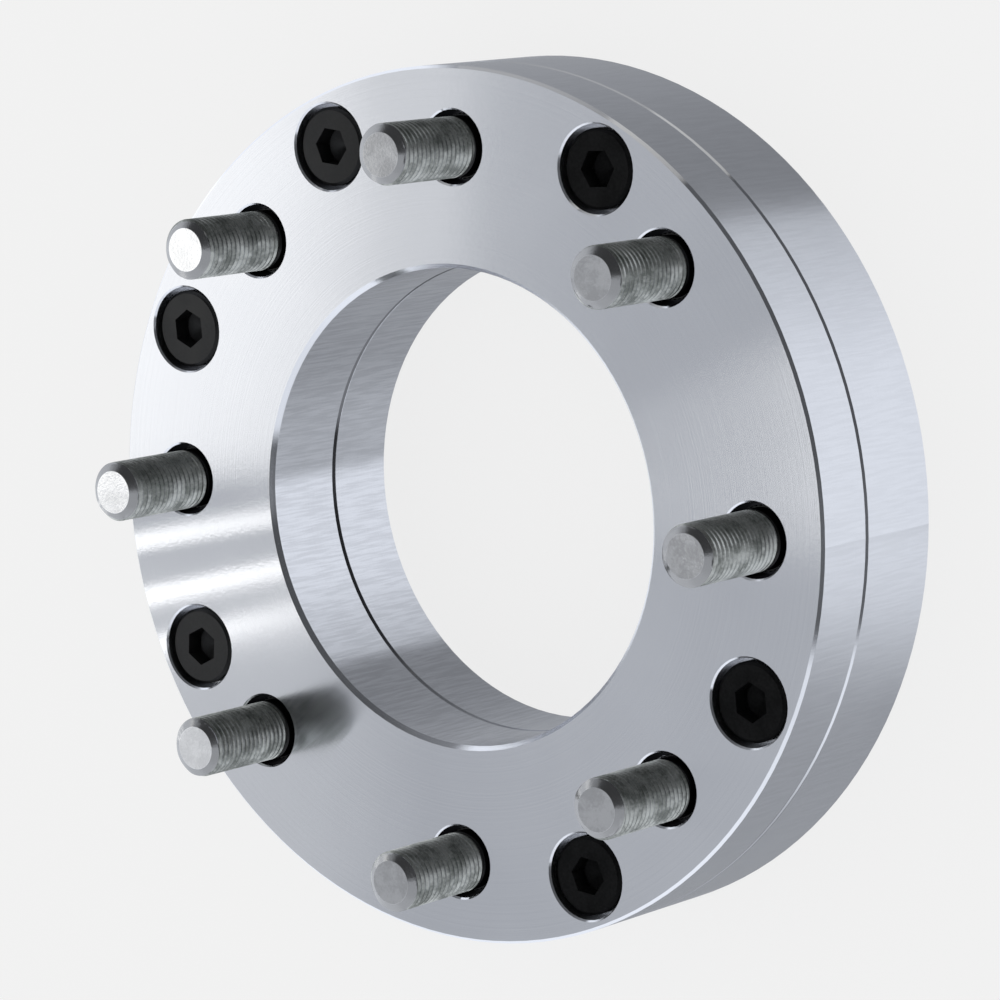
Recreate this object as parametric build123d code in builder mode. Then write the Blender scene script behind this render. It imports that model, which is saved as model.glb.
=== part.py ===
"""Two-piece wheel adapter: takes a five-lug hub to an eight-lug wheel.

It lies on its hub face. z = 0 is the hub face, +Z is the adapter's axis and points to the wheel, the
origin is on the axis and wheel stud 1 is on +X. Millimetres.
"""

import os
from math import cos, pi, radians, sin, tan

from build123d import *

# Discs
bore_d = 110.2
front_t = 17.0
rear_t = 25.4
rim_margin = 2.05
rim_chamfer = 0.65
bore_chamfer = 1.0
joint_chamfer = 0.6

# Register: a ring under the wheel-side disc drops into a recess of the hub-side disc
register_wall = 2.9
register_h = 5.5
register_clearance = 0.05
register_end_gap = 0.1

# Wheel studs, M14 x 1.5, pressed in from behind
stud_count = 8
stud_pcd = 165.1
stud_d = 14.0
stud_reach = 25.4
stud_tip_chamfer = 2.0
stud_tip_chamfer_h = 1.2
stud_head_overhang = 3.05
stud_head_t = 5.0
stud_head_chamfer = 0.8
stud_head_sink = 2.5
stud_head_clearance = 1.5
knurl_height = 0.45
knurl_tooth = 0.3
knurl_l = 5.5
knurl_teeth = 36
knurl_clearance = 0.02
stud_relief_clearance = 1.5
stud_hole_chamfer = 0.4

# Socket screws, M12, low head
screw_pcd = 177.8
screw_angles = (63.0, 114.0, 156.0, 207.0, 294.0, 336.0)
screw_d = 12.0
screw_l = 25.0
screw_tip_chamfer = 1.2
screw_head_overhang = 3.1
screw_head_h = 7.0
screw_head_chamfer = 0.7
screw_head_sink = 0.9
hex_flats = 8.0
hex_depth = 4.4
hex_point_depth = 1.2
screw_head_clearance = 0.95
screw_shank_clearance = 0.5
screw_bore_chamfer = 0.4
thread_clearance = 0.05
tapped_runout = 3.6
drill_point_angle = 118.0

# Hub lug holes, with seats for conical nuts that stay below the joint
lug_count = 5
lug_pcd = 150.0
lug_phase = 27.0
lug_hole_d = 15.0
lug_seat_width = 3.5
lug_seat_angle = 60.0
lug_web = 10.95
lug_socket_clearance = 3.0
lug_hole_chamfer = 0.6

# Radii that follow
bore_r = bore_d / 2
register_r = bore_r + register_wall
recess_r = register_r + register_clearance
knurl_r = stud_d / 2 + knurl_height
stud_head_r = knurl_r + stud_head_overhang
stud_pocket_r = stud_head_r + stud_head_clearance
stud_relief_r = stud_d / 2 + stud_relief_clearance
screw_head_r = screw_d / 2 + screw_head_overhang
screw_bore_r = screw_head_r + screw_head_clearance
screw_hole_r = screw_d / 2 + screw_shank_clearance
tapped_r = screw_d / 2 + thread_clearance
lug_hole_r = lug_hole_d / 2
lug_seat_r = lug_hole_r + lug_seat_width
lug_pocket_r = lug_seat_r + lug_socket_clearance
outer_r = max(stud_pcd / 2 + stud_pocket_r, screw_pcd / 2 + screw_bore_r) + rim_margin

# Levels that follow, from the hub face up
joint_z = rear_t
face_z = rear_t + front_t
ring_end_z = joint_z - register_h
recess_z = ring_end_z - register_end_gap
stud_head_z = joint_z + stud_head_sink
stud_seat_z = stud_head_z + stud_head_t
knurl_top_z = stud_seat_z + knurl_l
stud_tip_z = face_z + stud_reach
head_top_z = face_z - screw_head_sink
head_seat_z = head_top_z - screw_head_h
screw_tip_z = head_seat_z - screw_l
tapped_z = screw_tip_z - tapped_runout
tapped_point = tapped_r / tan(radians(drill_point_angle / 2))
lug_seat_depth = lug_seat_width / tan(radians(lug_seat_angle / 2))

screw_points = [
    (screw_pcd / 2 * cos(radians(angle)), screw_pcd / 2 * sin(radians(angle)))
    for angle in screw_angles
]

# Wheel-side disc
with BuildPart() as front_plate:
    with BuildSketch(Plane.XZ):
        with BuildLine():
            Polyline(
                (bore_r + joint_chamfer, ring_end_z),
                (register_r - joint_chamfer, ring_end_z),
                (register_r, ring_end_z + joint_chamfer),
                (register_r, joint_z),
                (outer_r - joint_chamfer, joint_z),
                (outer_r, joint_z + joint_chamfer),
                (outer_r, face_z - rim_chamfer),
                (outer_r - rim_chamfer, face_z),
                (bore_r + bore_chamfer, face_z),
                (bore_r, face_z - bore_chamfer),
                (bore_r, ring_end_z + joint_chamfer),
                close=True,
            )
        make_face()
    revolve(axis=Axis.Z)
    # Stud holes: head pocket behind, knurl seat, relief at the wheel face
    with BuildSketch(Plane.XY.offset(joint_z)):
        with PolarLocations(stud_pcd / 2, stud_count):
            Circle(stud_pocket_r)
    extrude(amount=stud_seat_z - joint_z, mode=Mode.SUBTRACT)
    with BuildSketch(Plane.XY.offset(stud_seat_z)):
        with PolarLocations(stud_pcd / 2, stud_count):
            Circle(knurl_r + knurl_clearance)
    extrude(amount=knurl_l, mode=Mode.SUBTRACT)
    with BuildSketch(Plane.XY.offset(face_z)):
        with PolarLocations(stud_pcd / 2, stud_count):
            Circle(stud_relief_r)
    extrude(amount=knurl_top_z - face_z, mode=Mode.SUBTRACT)
    rims = front_plate.edges().filter_by(GeomType.CIRCLE).filter_by_position(Axis.Z, face_z, face_z)
    chamfer(rims.filter_by(lambda rim: abs(rim.radius - stud_relief_r) < 0.001), stud_hole_chamfer)
    # Screw holes: counterbore at the wheel face, clearance hole through
    with Locations(Plane.XY.offset(face_z)):
        with Locations(*screw_points):
            CounterBoreHole(screw_hole_r, screw_bore_r, face_z - head_seat_z)
    rims = front_plate.edges().filter_by(GeomType.CIRCLE).filter_by_position(Axis.Z, face_z, face_z)
    chamfer(rims.filter_by(lambda rim: abs(rim.radius - screw_bore_r) < 0.001), screw_bore_chamfer)

# Hub-side disc, with the recess for the register ring
with BuildPart() as rear_plate:
    with BuildSketch(Plane.XZ):
        with BuildLine():
            Polyline(
                (bore_r + bore_chamfer, 0),
                (outer_r - rim_chamfer, 0),
                (outer_r, rim_chamfer),
                (outer_r, joint_z - joint_chamfer),
                (outer_r - joint_chamfer, joint_z),
                (recess_r + joint_chamfer, joint_z),
                (recess_r, joint_z - joint_chamfer),
                (recess_r, recess_z),
                (bore_r + joint_chamfer, recess_z),
                (bore_r, recess_z - joint_chamfer),
                (bore_r, bore_chamfer),
                close=True,
            )
        make_face()
    revolve(axis=Axis.Z)
    # Lug holes: pocket that takes a socket, conical nut seat, hole through with a broken edge
    with BuildSketch(Plane.XY.offset(lug_web)):
        with PolarLocations(lug_pcd / 2, lug_count, start_angle=lug_phase):
            Circle(lug_pocket_r)
    extrude(amount=joint_z - lug_web, mode=Mode.SUBTRACT)
    with BuildSketch(Plane.XY):
        with PolarLocations(lug_pcd / 2, lug_count, start_angle=lug_phase):
            Circle(lug_hole_r)
    extrude(amount=lug_web, mode=Mode.SUBTRACT)
    with Locations(Plane.XY.offset(lug_web - lug_seat_depth)):
        with PolarLocations(lug_pcd / 2, lug_count, start_angle=lug_phase):
            Cone(
                lug_hole_r,
                lug_seat_r,
                lug_seat_depth,
                align=(Align.CENTER, Align.CENTER, Align.MIN),
                mode=Mode.SUBTRACT,
            )
    with PolarLocations(lug_pcd / 2, lug_count, start_angle=lug_phase):
        Cone(
            lug_hole_r + lug_hole_chamfer,
            lug_hole_r,
            lug_hole_chamfer,
            align=(Align.CENTER, Align.CENTER, Align.MIN),
            mode=Mode.SUBTRACT,
        )
    # Tapped holes at the thread's outer diameter, ending in the drill's point
    with BuildSketch(Plane.XY.offset(joint_z)):
        with Locations(*screw_points):
            Circle(tapped_r)
    extrude(amount=tapped_z - joint_z, mode=Mode.SUBTRACT)
    with Locations(Plane.XY.offset(tapped_z)):
        with Locations(*screw_points):
            Cone(
                0,
                tapped_r,
                tapped_point,
                align=(Align.CENTER, Align.CENTER, Align.MAX),
                mode=Mode.SUBTRACT,
            )

# Wheel stud on the Z axis: head, toothed knurl, shank at the thread's outer diameter
with BuildPart() as stud:
    with BuildSketch(Plane.XZ):
        with BuildLine():
            Polyline(
                (0, stud_head_z),
                (stud_head_r - stud_head_chamfer, stud_head_z),
                (stud_head_r, stud_head_z + stud_head_chamfer),
                (stud_head_r, stud_seat_z),
                (stud_d / 2, stud_seat_z),
                (stud_d / 2, stud_tip_z - stud_tip_chamfer_h),
                (stud_d / 2 - stud_tip_chamfer, stud_tip_z),
                (0, stud_tip_z),
                close=True,
            )
        make_face()
    revolve(axis=Axis.Z)
    tooth_points = []
    for i in range(knurl_teeth):
        crest = 2 * pi * i / knurl_teeth
        root = 2 * pi * (i + 0.5) / knurl_teeth
        tooth_points.append((knurl_r * cos(crest), knurl_r * sin(crest)))
        tooth_points.append(((knurl_r - knurl_tooth) * cos(root), (knurl_r - knurl_tooth) * sin(root)))
    with BuildSketch(Plane.XY.offset(stud_seat_z)):
        Polygon(*tooth_points, align=None)
    extrude(amount=knurl_l)

# Socket screw on the Z axis: low head with a hex socket, shank at the thread's outer diameter
with BuildPart() as screw:
    with BuildSketch(Plane.XZ):
        with BuildLine():
            Polyline(
                (0, screw_tip_z),
                (screw_d / 2 - screw_tip_chamfer, screw_tip_z),
                (screw_d / 2, screw_tip_z + screw_tip_chamfer),
                (screw_d / 2, head_seat_z),
                (screw_head_r, head_seat_z),
                (screw_head_r, head_top_z - screw_head_chamfer),
                (screw_head_r - screw_head_chamfer, head_top_z),
                (0, head_top_z),
                close=True,
            )
        make_face()
    revolve(axis=Axis.Z)
    with BuildSketch(Plane.XY.offset(head_top_z)):
        RegularPolygon(hex_flats / 2, 6, major_radius=False)
    extrude(amount=-hex_depth, mode=Mode.SUBTRACT)
    with Locations((0, 0, head_top_z - hex_depth)):
        Cone(
            0,
            hex_flats / 2,
            hex_point_depth,
            align=(Align.CENTER, Align.CENTER, Align.MAX),
            mode=Mode.SUBTRACT,
        )

os.makedirs("parts", exist_ok=True)

front_plate.part.label = "front_plate"
export_step(front_plate.part, "parts/front_plate.step")

rear_plate.part.label = "rear_plate"
export_step(rear_plate.part, "parts/rear_plate.step")

for i, place in enumerate(PolarLocations(stud_pcd / 2, stud_count).locations):
    wheel_stud = place * stud.part
    wheel_stud.label = f"wheel_stud_{i + 1}"
    export_step(wheel_stud, f"parts/wheel_stud_{i + 1}.step")

for i, (x, y) in enumerate(screw_points):
    socket_screw = Pos(x, y, 0) * Rot(0, 0, screw_angles[i]) * screw.part
    socket_screw.label = f"socket_screw_{i + 1}"
    export_step(socket_screw, f"parts/socket_screw_{i + 1}.step")
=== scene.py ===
"""Two-piece wheel adapter: looks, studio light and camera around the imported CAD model.

The adapter lies on its hub face on the floor, with its axis on world Z and wheel stud 1 on +X.
Lengths are in metres. Azimuths are in degrees round the axis, from +X towards +Y.
"""

import math

import bmesh
import bpy
from mathutils import Matrix, Vector


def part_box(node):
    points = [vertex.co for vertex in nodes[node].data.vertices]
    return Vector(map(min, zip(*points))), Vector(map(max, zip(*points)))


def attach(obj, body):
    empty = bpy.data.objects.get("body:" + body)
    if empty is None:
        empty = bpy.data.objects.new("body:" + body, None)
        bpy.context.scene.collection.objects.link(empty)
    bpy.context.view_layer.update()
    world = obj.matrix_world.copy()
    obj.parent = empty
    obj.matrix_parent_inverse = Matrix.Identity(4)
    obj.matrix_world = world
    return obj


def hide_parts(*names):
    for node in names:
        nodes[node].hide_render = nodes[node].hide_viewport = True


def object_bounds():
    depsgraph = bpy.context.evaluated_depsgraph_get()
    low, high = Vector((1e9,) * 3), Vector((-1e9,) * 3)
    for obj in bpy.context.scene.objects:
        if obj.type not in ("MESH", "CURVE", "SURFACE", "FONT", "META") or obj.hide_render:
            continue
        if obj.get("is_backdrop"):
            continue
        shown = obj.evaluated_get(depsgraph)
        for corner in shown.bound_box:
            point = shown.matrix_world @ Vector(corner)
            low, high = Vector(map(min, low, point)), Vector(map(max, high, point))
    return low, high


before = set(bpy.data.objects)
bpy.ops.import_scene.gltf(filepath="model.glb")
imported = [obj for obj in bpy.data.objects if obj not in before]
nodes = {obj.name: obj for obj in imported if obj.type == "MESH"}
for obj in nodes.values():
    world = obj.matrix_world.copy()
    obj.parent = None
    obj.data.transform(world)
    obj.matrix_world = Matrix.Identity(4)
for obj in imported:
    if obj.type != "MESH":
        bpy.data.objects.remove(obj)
cad_low, cad_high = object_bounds()

MM = 0.001
STUDS = [f"wheel_stud_{i}" for i in range(1, 9)]
SCREWS = [f"socket_screw_{i}" for i in range(1, 7)]
PLATES = ["front_plate", "rear_plate"]

# Sizes of the discs

FACE_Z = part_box("front_plate")[1].z
STUD_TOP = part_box("wheel_stud_1")[1].z
STUD_CIRCLE_R = (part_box("wheel_stud_1")[0].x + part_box("wheel_stud_1")[1].x) / 2
RIM_R = cad_high[0]
RELIEF_R = 8.5 * MM                        # the gap's outer radius round each stud
BORE_R = 55.1 * MM
RING_END_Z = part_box("front_plate")[0].z    # where the two discs meet inside the bore
JOINT_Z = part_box("rear_plate")[1].z        # where they meet round the rim

# Sizes of the studs

HEAD_R = 10.5 * MM
HEAD_H = 5.0 * MM
HEAD_CHAMFER = 0.8 * MM
KNURL_R = 7.45 * MM
KNURL_TOOTH = 0.3 * MM
KNURL_H = 5.5 * MM
SHANK_H = 3.0 * MM            # plain length above the knurl, inside the relief
MAJOR_R = 7.0 * MM
PITCH = 1.5 * MM
THREAD_DEPTH = 0.60 * MM
CREST, ROOT = 0.36, 0.14      # the crest's and the root's flats, as shares of the pitch
FADE_IN = 0.8 * PITCH         # length over which the thread deepens from the shank
TIP_CHAMFER = 2.0 * MM
TIP_CHAMFER_H = 1.2 * MM

AROUND = 72                   # points in each ring of a stud, two to a knurl tooth
ROWS_PER_PITCH = 8
START_TURN = 0.37             # from each stud to the next, the turn of the thread's start
SMOOTH_BELOW = 28             # edges flatter than this many degrees are shaded smooth
MERGE = 0.004 * MM            # points closer than this become one
SPECK = 0.002 * MM            # edges shorter than this are dissolved
STREAK_STUD = "wheel_stud_6"  # the one stud whose streak in the face is strong in the photograph


# Node helpers

class Graph:
    """Short calls for building one node tree."""

    def __init__(self, owner, out="ShaderNodeOutputMaterial"):
        owner.use_nodes = True
        self.tree = owner.node_tree
        self.tree.nodes.clear()
        self.out = self.tree.nodes.new(out)

    def put(self, socket, value):
        """Link another socket to this one, or set it to a plain value."""
        if isinstance(value, bpy.types.NodeSocket):
            self.tree.links.new(value, socket)
        else:
            socket.default_value = value

    def add(self, kind, inputs=None, **settings):
        node = self.tree.nodes.new("ShaderNode" + kind)
        for name, value in settings.items():
            setattr(node, name, value)
        for name, value in (inputs or {}).items():
            self.put(node.inputs[name], value)
        return node

    def surface(self, shader):
        self.put(self.out.inputs["Surface"], shader.outputs[0])

    def math(self, operation, *values):
        node = self.add("Math", operation=operation)
        for socket, value in zip(node.inputs, values):
            self.put(socket, value)
        return node.outputs[0]

    def chain(self, operation, values):
        result = values[0]
        for value in values[1:]:
            result = self.math(operation, result, value)
        return result

    def plus(self, *values):
        return self.chain("ADD", values)

    def times(self, *values):
        return self.chain("MULTIPLY", values)

    def minus(self, a, b):
        return self.math("SUBTRACT", a, b)

    def below(self, value, limit):
        """1 where value is less than limit, and 0 elsewhere."""
        return self.math("LESS_THAN", value, limit)

    def near(self, value, middle, reach):
        """1 where value is less than reach from middle, and 0 elsewhere."""
        return self.below(self.math("ABSOLUTE", self.minus(value, middle)), reach)

    def step(self, value, low, high, to_low=0.0, to_high=1.0):
        """Smooth step from to_low at low to to_high at high."""
        node = self.add("MapRange", interpolation_type="SMOOTHSTEP")
        for i, v in enumerate((value, low, high, to_low, to_high)):
            self.put(node.inputs[i], v)
        return node.outputs[0]

    def band(self, value, rise, top_low, top_high, fall):
        """1 between top_low and top_high, smoothly 0 outside rise and fall."""
        return self.times(self.step(value, rise, top_low), self.step(value, top_high, fall, 1.0, 0.0))

    def blend(self, factor, a, b):
        node = self.add("Mix", data_type="FLOAT")
        for name, v in (("Factor", factor), ("A", a), ("B", b)):
            self.put(node.inputs[name], v)
        return node.outputs["Result"]

    def tint(self, factor, a, b):
        node = self.add("Mix", data_type="RGBA")
        for socket, v in zip([s for s in node.inputs if s.enabled], (factor, a, b)):
            self.put(socket, v)
        return [s for s in node.outputs if s.enabled][0]

    def noise(self, vector, scale, detail, rough):
        """Noise at a position, or along a line when vector is a single number's socket."""
        line = vector.type == "VALUE"
        node = self.add("TexNoise", noise_dimensions="1D" if line else "3D")
        self.put(node.inputs["W" if line else "Vector"], vector)
        for name, v in (("Scale", scale), ("Detail", detail), ("Roughness", rough)):
            self.put(node.inputs[name], v)
        return node.outputs[0]

    def split(self, vector):
        """The x, y and z of a vector."""
        return self.add("SeparateXYZ", {"Vector": vector}).outputs

    def join(self, x, y, z):
        return self.add("CombineXYZ", {"X": x, "Y": y, "Z": z}).outputs[0]

    def length(self, x, y):
        return self.math("SQRT", self.plus(self.times(x, x), self.times(y, y)))

    def azimuth(self, x, y):
        return self.times(self.math("ARCTAN2", y, x), 180 / math.pi)


def rgba(r, g, b):
    return (r, g, b, 1.0)


# black of the painted shade in the gaps round the studs and in the grooves of the joint
PAINTED_SHADE_BLACK = rgba(0.02, 0.02, 0.022)
COOL_LIGHT = rgba(0.90, 0.935, 1.0)    # tint of what the metal mirrors


# Aluminium

def stud_distance(g, radius, azimuth):
    """How far a place in the discs lies from the axis of the nearest stud."""
    between = 360 / len(STUDS)
    half_on = len(STUDS) + 0.5    # half a sector on, and far enough up to stay above zero
    sector = g.math("FRACT", g.plus(g.times(azimuth, 1 / between), half_on))
    side = g.times(g.minus(g.times(sector, between), between / 2), math.pi / 180)
    off_x = g.minus(g.times(radius, g.math("COSINE", side)), STUD_CIRCLE_R)
    off_y = g.times(radius, g.math("SINE", side))
    return g.length(off_x, off_y)


def painted_shade_places(g, y, z, radius, azimuth):
    """Painted shade: 1 in the gaps round the studs below the face, and less along one side of each of the
    two grooves of the joint.
    """
    round_stud = g.below(stud_distance(g, radius, azimuth), RELIEF_R + 0.02 * MM)
    # painted shade in the gap round each stud, below the face
    gap = g.times(round_stud, g.below(z, FACE_Z - 0.42 * MM))
    bore_groove = g.times(g.near(z, RING_END_Z, 1.2 * MM), g.near(radius, BORE_R + MM, 0.96 * MM))
    rim_groove = g.times(g.near(z, JOINT_Z, 0.9 * MM), g.math("GREATER_THAN", radius, RIM_R - 2 * MM))
    # painted shade along the joint grooves: the bore's groove away from -Y, the rim's groove towards -Y
    bore_groove_shade = g.times(bore_groove, g.step(y, -52 * MM, -35 * MM, 0.0, 0.8))
    rim_groove_shade = g.times(rim_groove, g.step(y, -70 * MM, -40 * MM, 0.55, 0.0))
    return g.math("MAXIMUM", gap, g.plus(bore_groove_shade, rim_groove_shade))


def turned_aluminium(name):
    """Satin aluminium turned on a lathe: fine rings about the axis, so highlights spread across them."""
    material = bpy.data.materials.new(name)
    g = Graph(material)
    place = g.add("TexCoord").outputs["Object"]
    x, y, z = g.split(place)
    radius = g.length(x, y)
    slope = g.split(g.add("NewGeometry").outputs["True Normal"])["Z"]
    flat = g.math("GREATER_THAN", g.math("ABSOLUTE", slope), 0.5)
    across = g.blend(flat, z, radius)
    rings = g.noise(across, scale=2400.0, detail=3.0, rough=0.6)
    waves = g.noise(across, scale=170.0, detail=1.0, rough=0.5)
    grain = g.noise(g.join(x, y, g.times(z, 0.12)), scale=900.0, detail=2.0, rough=0.7)
    patches = g.noise(place, scale=16.0, detail=3.0, rough=0.6)
    height = g.plus(g.times(rings, 0.6), g.plus(g.times(waves, 0.1), g.times(grain, 0.3)))
    bump = g.add("Bump", {"Strength": 0.25, "Distance": 0.06 * MM, "Height": height})
    tone = g.plus(g.times(g.minus(rings, 0.5), 0.5), patches)
    color = g.tint(g.step(tone, 0.25, 0.75), rgba(0.735, 0.745, 0.775), rgba(0.785, 0.795, 0.825))
    # the walls are scratched along the axis, most of all in the bore
    scratches = g.noise(g.join(x, y, g.times(z, 0.07)), scale=1300.0, detail=2.0, rough=0.6)
    in_bore = g.below(radius, BORE_R + 5 * MM)
    darkest = g.blend(in_bore, 0.97, 0.90)
    palest = g.blend(in_bore, 1.015, 1.04)
    worn = g.blend(flat, g.step(scratches, 0.35, 0.65, darkest, palest), 1.0)
    color = g.add("VectorMath", {"Vector": color, "Scale": worn}, operation="SCALE").outputs[0]
    # painted shade: black in the gaps round the studs and along one side of each joint groove
    color = g.tint(painted_shade_places(g, y, z, radius, g.azimuth(x, y)), color, PAINTED_SHADE_BLACK)
    shader = g.add("BsdfPrincipled", {
        "Base Color": color,
        "Metallic": 1.0,
        "Roughness": g.step(patches, 0.2, 0.8, 0.12, 0.138),
        "Anisotropic": 1.0,
        "Anisotropic Rotation": 0.25,
        "Tangent": g.add("Tangent", direction_type="RADIAL", axis="Z").outputs[0],
        "Normal": bump.outputs[0],
    })
    g.surface(shader)
    return material


# Zinc

def dull_zinc(name):
    """Plated stud steel, mottled by handling, with a brighter tip that is partly a painted highlight, and
    painted shade at its foot.
    """
    material = bpy.data.materials.new(name)
    g = Graph(material)
    place = g.add("TexCoord").outputs["Object"]
    axes = g.split(place)
    x, z = axes["X"], axes["Z"]
    blotch = g.noise(place, scale=190.0, detail=4.0, rough=0.6)
    fine = g.noise(place, scale=1400.0, detail=3.0, rough=0.6)
    mottle = g.step(g.plus(g.times(blotch, 0.75), g.times(fine, 0.25)), 0.36, 0.64)
    color = g.tint(mottle, rgba(0.18, 0.19, 0.176), rgba(0.52, 0.532, 0.505))
    # the chamfer and the end face are worn bright, and the end faces are painted lighter still on the
    # studs at -X, a painted highlight on the side where the lamps stand
    chamfer_z = STUD_TOP - TIP_CHAMFER_H
    tip = g.step(z, chamfer_z - 0.1 * MM, chamfer_z + 0.1 * MM)
    end = g.step(z, STUD_TOP - 0.03 * MM, STUD_TOP - 0.01 * MM)
    # the step along x is a painted highlight on the end faces of the studs at -X
    polish_and_highlight = g.plus(g.step(mottle, 0.0, 1.0, 0.0, 0.12), g.step(x, -50 * MM, -30 * MM, 0.85, 0.52))
    bright = g.blend(end, 0.34, polish_and_highlight)
    rubbed_and_highlit = g.add("CombineColor", {"Red": bright, "Green": bright, "Blue": bright}).outputs[0]
    color = g.tint(tip, color, rubbed_and_highlit)
    # painted shade: black on the stud below the face, inside its gap
    color = g.tint(g.step(z, FACE_Z, FACE_Z + 0.4 * MM), rgba(0.03, 0.03, 0.03), color)
    bump = g.add("Bump", {"Strength": 0.3, "Distance": 0.08 * MM, "Height": fine})
    side_roughness = g.step(mottle, 0.0, 1.0, 0.40, 0.31)
    shader = g.add("BsdfPrincipled", {
        "Base Color": color,
        "Metallic": 1.0,
        "Roughness": g.blend(end, g.blend(tip, side_roughness, 0.2), 0.16),
        "Normal": bump.outputs[0],
    })
    g.surface(shader)
    return material


# Black oxide

def black_oxide(name):
    """Blackened alloy steel, with stronger reflections on the screws at -X, a painted sheen on the side
    where the lamps stand, and a dull finish on the others.
    """
    material = bpy.data.materials.new(name)
    g = Graph(material)
    place = g.add("TexCoord").outputs["Object"]
    specks = g.noise(place, scale=1500.0, detail=3.0, rough=0.65)
    patches = g.noise(place, scale=160.0, detail=2.0, rough=0.5)
    mottle = g.step(g.plus(g.times(specks, 0.6), g.times(patches, 0.4)), 0.35, 0.7)
    bump = g.add("Bump", {"Strength": 0.25, "Distance": 0.05 * MM, "Height": specks})
    shader = g.add("BsdfPrincipled", {
        "Base Color": g.tint(mottle, rgba(0.0015, 0.0016, 0.0017), rgba(0.006, 0.0062, 0.0066)),
        "Metallic": 0.0,
        "Roughness": g.step(patches, 0.3, 0.7, 0.34, 0.48),
        # stronger reflections on the screws at -X: a painted sheen on the side where the lamps stand
        "Specular IOR Level": g.step(g.split(place)["X"], -50 * MM, 20 * MM, 0.36, 0.07),
        "Normal": bump.outputs[0],
    })
    g.surface(shader)
    return material


ALUMINIUM = turned_aluminium("turned_aluminium_look")
ZINC = dull_zinc("zinc_plated_look")
BLACK = black_oxide("black_oxide_look")


def dress(names, material):
    for name in names:
        for slot in nodes[name].material_slots:
            slot.material = material


dress(PLATES, ALUMINIUM)
dress(SCREWS, BLACK)


# Threaded studs

def thread_dip(phase):
    """0 on the thread's crest to 1 at its root."""
    phase %= 1.0
    flank = (1.0 - CREST - ROOT) / 2
    if phase < CREST:
        return 0.0
    if phase < CREST + flank:
        return (phase - CREST) / flank
    if phase < CREST + flank + ROOT:
        return 1.0
    return (1.0 - phase) / flank


def thread_radius(z, phase, start, high):
    """The thread's radius at a height, faded in above start and cut by the chamfer below high."""
    fade = min(1.0, (z - start) / FADE_IN)
    r = MAJOR_R - THREAD_DEPTH * thread_dip(phase) * fade
    above_chamfer = z - (high - TIP_CHAMFER_H)
    return min(r, MAJOR_R - above_chamfer * TIP_CHAMFER / TIP_CHAMFER_H)


def stud_mesh(name, center, low, high, turn):
    """One stud as a closed mesh: head, toothed knurl, shank and a real helical thread."""
    bm = bmesh.new()
    seat = low + HEAD_H
    knurl_top = seat + KNURL_H
    start = knurl_top + SHANK_H

    def point(part, r, z):
        a = 2 * math.pi * part
        return bm.verts.new((center.x + r * math.cos(a), center.y + r * math.sin(a), z))

    def ring(z, radius, tooth=0.0):
        return [point(i / AROUND, radius - (tooth if i % 2 else 0.0), z) for i in range(AROUND)]

    def skin(lower, upper):
        for i in range(AROUND):
            j = (i + 1) % len(lower)
            bm.faces.new((lower[i], lower[j], upper[j], upper[i]))

    def cap(loop, z, up):
        middle = bm.verts.new((center.x, center.y, z))
        for i in range(AROUND):
            j = (i + 1) % AROUND
            bm.faces.new((loop[i], loop[j], middle) if up else (loop[j], loop[i], middle))

    rings = [
        ring(low, HEAD_R - HEAD_CHAMFER),
        ring(low + HEAD_CHAMFER, HEAD_R),
        ring(seat, HEAD_R),
        ring(seat, KNURL_R, KNURL_TOOTH),
        ring(knurl_top, KNURL_R, KNURL_TOOTH),
        ring(knurl_top, MAJOR_R),
        ring(start, MAJOR_R),
    ]
    for lower, upper in zip(rings, rings[1:]):
        skin(lower, upper)
    cap(rings[0], low, False)

    # each row climbs one pitch round the stud, and the rows are cut off at start and high
    rows = (math.ceil((high - start) / PITCH) + 1) * ROWS_PER_PITCH
    grid = []
    for row in range(-ROWS_PER_PITCH, rows + 1):
        line = []
        for i in range(AROUND + 1):
            part = i / AROUND
            z = start + PITCH * (row / ROWS_PER_PITCH + part)
            z = min(max(z, start), high)
            phase = (z - start) / PITCH - part + turn
            line.append(point(part, thread_radius(z, phase, start, high), z))
        grid.append(line)
    for lower, upper in zip(grid, grid[1:]):
        skin(lower, upper)
    cap(ring(high, MAJOR_R - TIP_CHAMFER), high, True)

    bmesh.ops.remove_doubles(bm, verts=bm.verts, dist=MERGE)
    bmesh.ops.dissolve_degenerate(bm, dist=SPECK, edges=bm.edges)
    bmesh.ops.recalc_face_normals(bm, faces=bm.faces)
    for edge in bm.edges:
        edge.smooth = len(edge.link_faces) == 2 and edge.calc_face_angle() < math.radians(SMOOTH_BELOW)
    for face in bm.faces:
        face.smooth = True
    mesh = bpy.data.meshes.new(name)
    bm.to_mesh(mesh)
    bm.free()
    return mesh


for i, node in enumerate(STUDS):
    low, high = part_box(node)
    name = f"threaded_stud_{i + 1}"
    mesh = stud_mesh(name, (low + high) / 2, low.z, high.z, i * START_TURN)
    mesh.materials.append(ZINC)
    stud = bpy.data.objects.new(name, mesh)
    bpy.context.scene.collection.objects.link(stud)
    stud.visible_glossy = node == STREAK_STUD
    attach(stud, "root")
    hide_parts(node)


# Stage

PALE = 0.885                  # linear value of the pale background
FLOOR_HALF = 7.0
FLOOR_GLOW = 0.9              # share of the floor's pale colour that the camera sees without shadow

LOW_CARD_HALF = 0.5
LOW_CARD_Z = -50 * MM
LOW_CARD_LEVEL = 0.32
LOW_EDGE_Y = -2.3 * MM        # where the card's bright edge passes the rim at +X
LOW_EDGE_TURN = -16.5         # the edge's direction, in degrees from +X

MIRRORED_GAIN = 1.05          # brightness of everything that the metal mirrors of the world
LAMP_WATTS = 4                # watts a square metre at which an area lamp looks white
LAMP_COLOR = (1.0, 0.985, 0.94)

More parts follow.
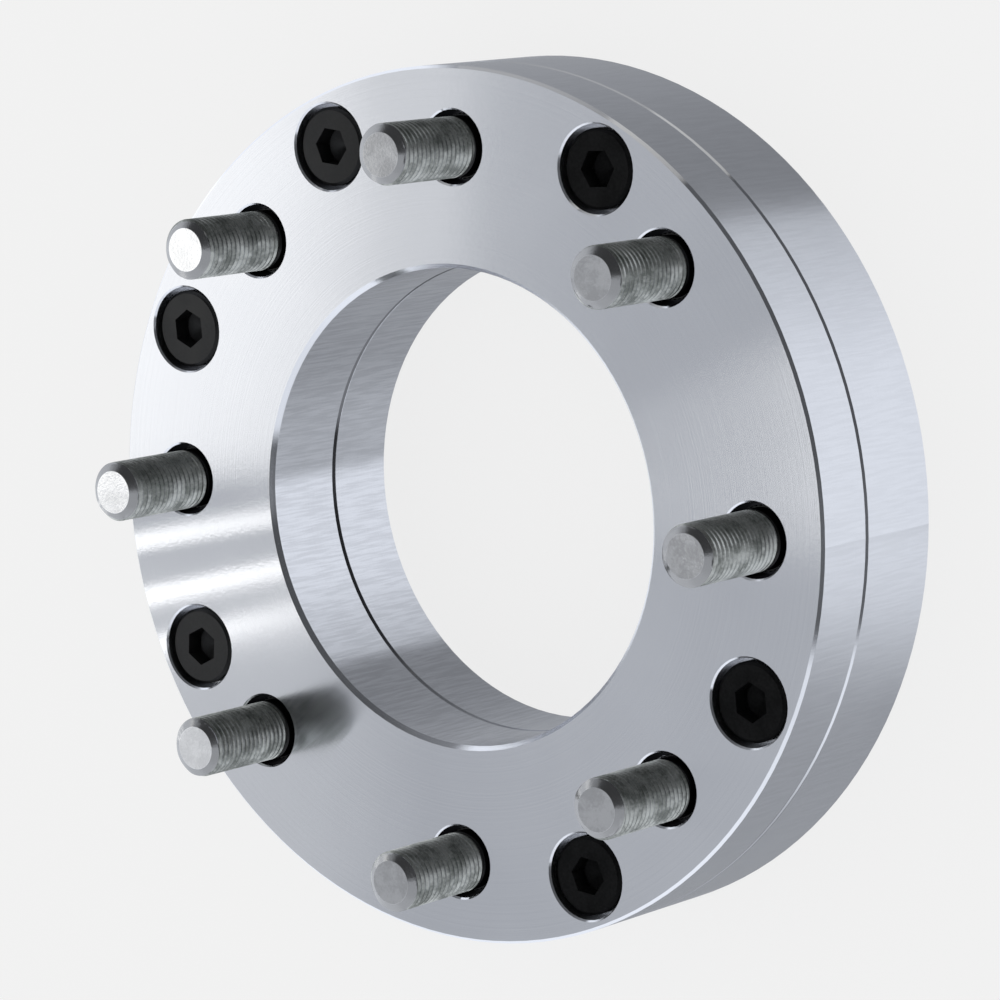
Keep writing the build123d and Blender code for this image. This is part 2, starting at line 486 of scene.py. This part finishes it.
CAMERA_AZIMUTH = 13.8806
CAMERA_ELEVATION = 51.2182
CAMERA_ROLL = -101.5081       # the photograph shows the adapter standing on its rim
CAMERA_DISTANCE = 1.065947    # from the point aimed at
CAMERA_AIM = (0.012826, 0.003070, FACE_Z)
SENSOR_WIDTH = 36.0
LENS = 169.35


def add_sheet(name, half, z, material):
    """A level square sheet about the axis."""
    mesh = bpy.data.meshes.new(name)
    corners = [(-half, -half, z), (half, -half, z), (half, half, z), (-half, half, z)]
    mesh.from_pydata(corners, [], [(0, 1, 2, 3)])
    mesh.materials.append(material)
    sheet = bpy.data.objects.new(name, mesh)
    bpy.context.scene.collection.objects.link(sheet)
    return sheet


def make_floor():
    material = bpy.data.materials.new("floor_look")
    g = Graph(material)
    camera_ray = g.add("LightPath").outputs["Is Camera Ray"]
    diffuse = g.add("BsdfDiffuse", {"Color": rgba(PALE, PALE, PALE)})
    glow = g.add("Emission", {"Color": rgba(PALE, PALE, PALE), "Strength": 1.0})
    mixed = g.add("MixShader")
    parts = (g.times(camera_ray, FLOOR_GLOW), diffuse.outputs[0], glow.outputs[0])
    for socket, value in zip(mixed.inputs, parts):
        g.put(socket, value)
    g.surface(mixed)
    floor = add_sheet("floor", FLOOR_HALF, 0, material)
    floor.visible_glossy = False
    floor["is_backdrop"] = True


def make_low_card():
    """A sheet under the floor, for reflections alone: it eases the step of the pale side along the rim.

    It stays clear of the bore, whose wall shows the same step as a straight edge.
    """
    material = bpy.data.materials.new("low_card_look")
    g = Graph(material)
    axes = g.split(g.add("TexCoord").outputs["Object"])
    x, y = axes["X"], axes["Y"]
    turn = math.radians(LOW_EDGE_TURN)
    along_y = g.times(g.minus(y, LOW_EDGE_Y), math.cos(turn))
    along_x = g.times(g.minus(x, RIM_R), math.sin(turn))
    beside = g.minus(along_y, along_x)
    strip = g.band(beside, -76 * MM, -6 * MM, -6 * MM, 10 * MM)
    outside = g.step(g.length(x, y), 110 * MM, 125 * MM)
    level = g.times(LOW_CARD_LEVEL, strip, outside)
    glow = g.add("Emission", {"Color": COOL_LIGHT, "Strength": level})
    both = g.add("AddShader")
    g.put(both.inputs[0], g.add("BsdfTransparent").outputs[0])
    g.put(both.inputs[1], glow.outputs[0])
    g.surface(both)
    card = add_sheet("low_card", LOW_CARD_HALF, LOW_CARD_Z, material)
    card.visible_camera = False
    card.visible_diffuse = False
    card.visible_shadow = False
    card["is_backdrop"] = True


def studio_low(g, azimuth):
    """Below the horizon: pale towards +X, darker beyond two straight edges."""
    rise = g.plus(g.step(azimuth, -80, -32, 0.0, 0.3), g.step(azimuth, -20, -13, 0.0, 0.7))
    straight_edge = g.step(azimuth, 75, 79, 1.0, 0.0)
    slow_fall = g.step(azimuth, 25, 76, 1.0, 0.5)
    pale = g.plus(0.365, g.times(0.56, rise, straight_edge, slow_fall))
    return g.minus(pale, g.times(0.10, g.band(azimuth, 75, 80, 95, 165)))


def studio_round(g, azimuth, z, behind):
    """Round the horizon: bright behind the adapter, dark on the camera's side, pale between them at -Y."""
    glare = g.plus(0.5, g.step(z, 0.30, 0.45, 0.6, 0.0))
    ahead = g.step(z, 0.30, 0.40, 0.25, 0.09)
    not_behind = g.step(behind, 0.0, 1.0, 1.0, 0.0)
    ring = g.plus(g.times(not_behind, ahead), g.times(behind, glare))
    return g.plus(ring, g.times(0.86, g.band(azimuth, -134, -126, -38, -28)))


def studio_high(g, azimuth, z):
    """Overhead: brighter close to straight above, paler towards -Y and darker towards +Y."""
    paler = g.times(0.30, g.band(azimuth, -145, -125, -12, 0))
    darker = g.times(0.42, g.times(g.band(azimuth, -4, 6, 140, 158), g.step(z, 0.955, 0.985, 1.0, 0.0)))
    return g.plus(g.step(z, 0.955, 0.99, 0.5, 0.85), g.minus(paler, darker))


def make_world():
    """Even light all round; metal sees a studio with darker and paler sides.

    The studio is laid out by the direction looked in: its azimuth, and its z from -1 below to 1 above.
    """
    world = bpy.data.worlds.new("studio")
    bpy.context.scene.world = world
    g = Graph(world, "ShaderNodeOutputWorld")
    x, y, z = g.split(g.add("TexCoord").outputs["Generated"])
    azimuth = g.azimuth(x, y)
    behind = g.step(g.math("ABSOLUTE", azimuth), 126, 134)
    upper = g.blend(g.step(z, 0.66, 0.76), studio_round(g, azimuth, z, behind), studio_high(g, azimuth, z))
    horizon = g.step(g.plus(z, g.times(behind, 0.2)), -0.53, -0.30)
    seen = g.blend(horizon, studio_low(g, azimuth), upper)
    rays = g.add("LightPath").outputs
    even = g.blend(rays["Is Camera Ray"], 1.0, PALE)
    value = g.blend(rays["Is Glossy Ray"], even, g.times(seen, MIRRORED_GAIN))
    color = g.tint(rays["Is Glossy Ray"], rgba(1.0, 1.0, 1.0), COOL_LIGHT)
    g.surface(g.add("Background", {"Color": color, "Strength": value}))


def make_lamp(name, low, high, level):
    """An upright flat soft lamp between two corners; level is its brightness, where 1 is white.

    It faces +X where both corners have the same x, and -Y otherwise.
    """
    low, high = Vector(low), Vector(high)
    facing = Vector((1, 0, 0)) if low.x == high.x else Vector((0, -1, 0))
    data = bpy.data.lights.new(name, "AREA")
    data.shape = "RECTANGLE"
    data.size = (high - low).xy.length
    data.size_y = high.z - low.z
    data.energy = LAMP_WATTS * data.size * data.size_y * level
    data.color = LAMP_COLOR
    lamp = bpy.data.objects.new(name, data)
    bpy.context.scene.collection.objects.link(lamp)
    aim = facing.to_track_quat("-Z", "Y")
    lamp.matrix_world = Matrix.Translation((low + high) / 2) @ aim.to_matrix().to_4x4()
    lamp.visible_camera = False
    lamp.visible_diffuse = False


def make_camera():
    data = bpy.data.cameras.new("camera")
    data.sensor_width = SENSOR_WIDTH
    data.lens = LENS
    data.clip_start, data.clip_end = 0.05, 30.0
    camera = bpy.data.objects.new("camera", data)
    bpy.context.scene.collection.objects.link(camera)
    heading = Matrix.Rotation(math.radians(CAMERA_AZIMUTH + 90), 4, "Z")
    tilt = Matrix.Rotation(math.radians(90 - CAMERA_ELEVATION), 4, "X")
    roll = Matrix.Rotation(math.radians(CAMERA_ROLL), 4, "Z")
    turn = heading @ tilt @ roll
    back = turn.col[2].xyz
    camera.matrix_world = Matrix.Translation(Vector(CAMERA_AIM) + CAMERA_DISTANCE * back) @ turn
    bpy.context.scene.camera = camera


make_floor()
make_low_card()
make_world()
for lamp_name, corner, far_corner, lamp_level in (
    ("left_panel", (-0.35, -0.059, 0.19), (-0.35, 0.14, 0.415), 0.63),
    ("left_panel_top", (-0.35, -0.059, 0.415), (-0.35, 0.14, 0.495), 0.24),
    ("left_panel_near", (-0.35, -0.25, 0.19), (-0.35, -0.081, 0.43), 0.13),
    ("strip_1", (-0.20, -0.0434, 0.02), (-0.20, -0.0381, 0.27), 0.80),
    ("strip_2", (-0.20, -0.0592, 0.02), (-0.20, -0.0539, 0.27), 0.80),
    ("strip_3", (-0.20, -0.0737, 0.02), (-0.20, -0.0682, 0.27), 0.85),
    ("high_card", (-0.35, 0.10, 0.45), (-0.35, 0.20, 0.66), 0.2),
    ("over_card", (-0.35, -0.15, 0.76), (-0.35, -0.03, 1.00), 0.75),
    ("far_card", (0.02, 0.30, 0.03), (0.12, 0.30, 0.16), 0.36),
    ("far_card_dim", (-0.15, 0.30, 0.03), (0.02, 0.30, 0.12), 0.2),
):
    make_lamp(lamp_name, corner, far_corner, lamp_level)
make_camera()

bpy.context.scene.view_settings.view_transform = "Standard"
low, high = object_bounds()
